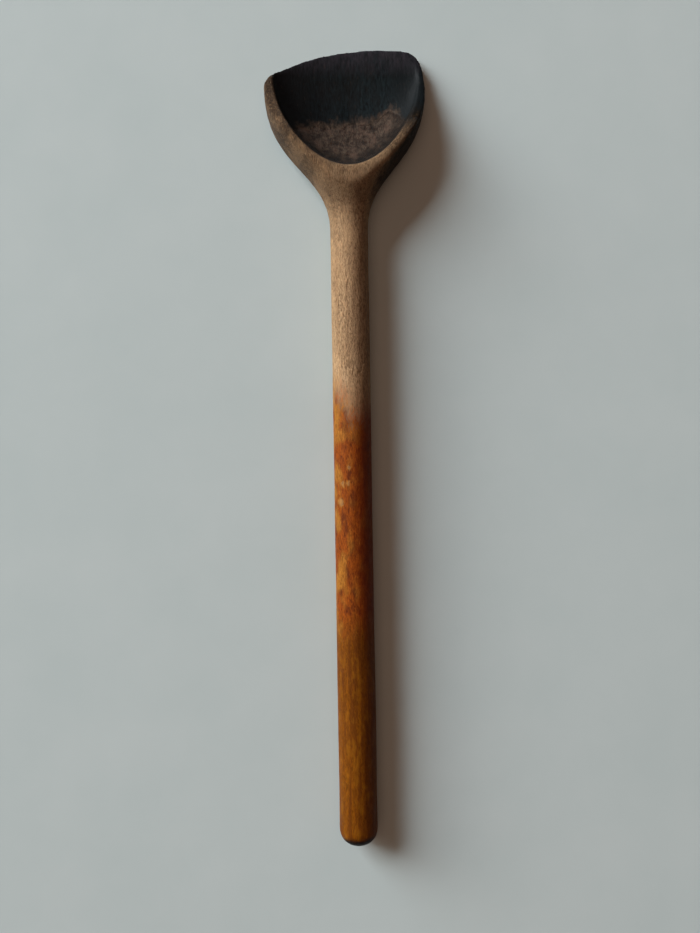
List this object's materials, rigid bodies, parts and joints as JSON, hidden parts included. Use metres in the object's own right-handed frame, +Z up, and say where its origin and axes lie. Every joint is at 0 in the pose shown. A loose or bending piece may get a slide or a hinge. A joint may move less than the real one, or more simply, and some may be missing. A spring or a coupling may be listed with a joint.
{
  "type": "wooden cooking spoon",
  "caption": "Worn one-piece wooden cooking spoon: round handle, oval scoop with its nose scraped away, black left in the hollow and amber lacquer left on the lower handle.",
  "frame": {"origin": "middle of the footprint, on the table the spoon lies on", "axes": "+Y runs along the handle to the bowl, +Z is up out of the hollow, +X is to the right with the bowl pointing away"},
  "size_m": [0.0524, 0.2588, 0.0169],
  "materials": {
    "bare_wood": "bare weathered lime wood, raised grain, matt",
    "amber_lacquer": "old amber oil lacquer over wood, satin, worn through in places",
    "black_lacquer": "black lacquer and soot, satin, scratched along the grain"
  },
  "bodies": {
    "root": {"carved_wood_body": "bare_wood", "handle_amber_lacquer": "amber_lacquer", "bowl_black_lacquer": "black_lacquer"}
  },
  "joints": []
}
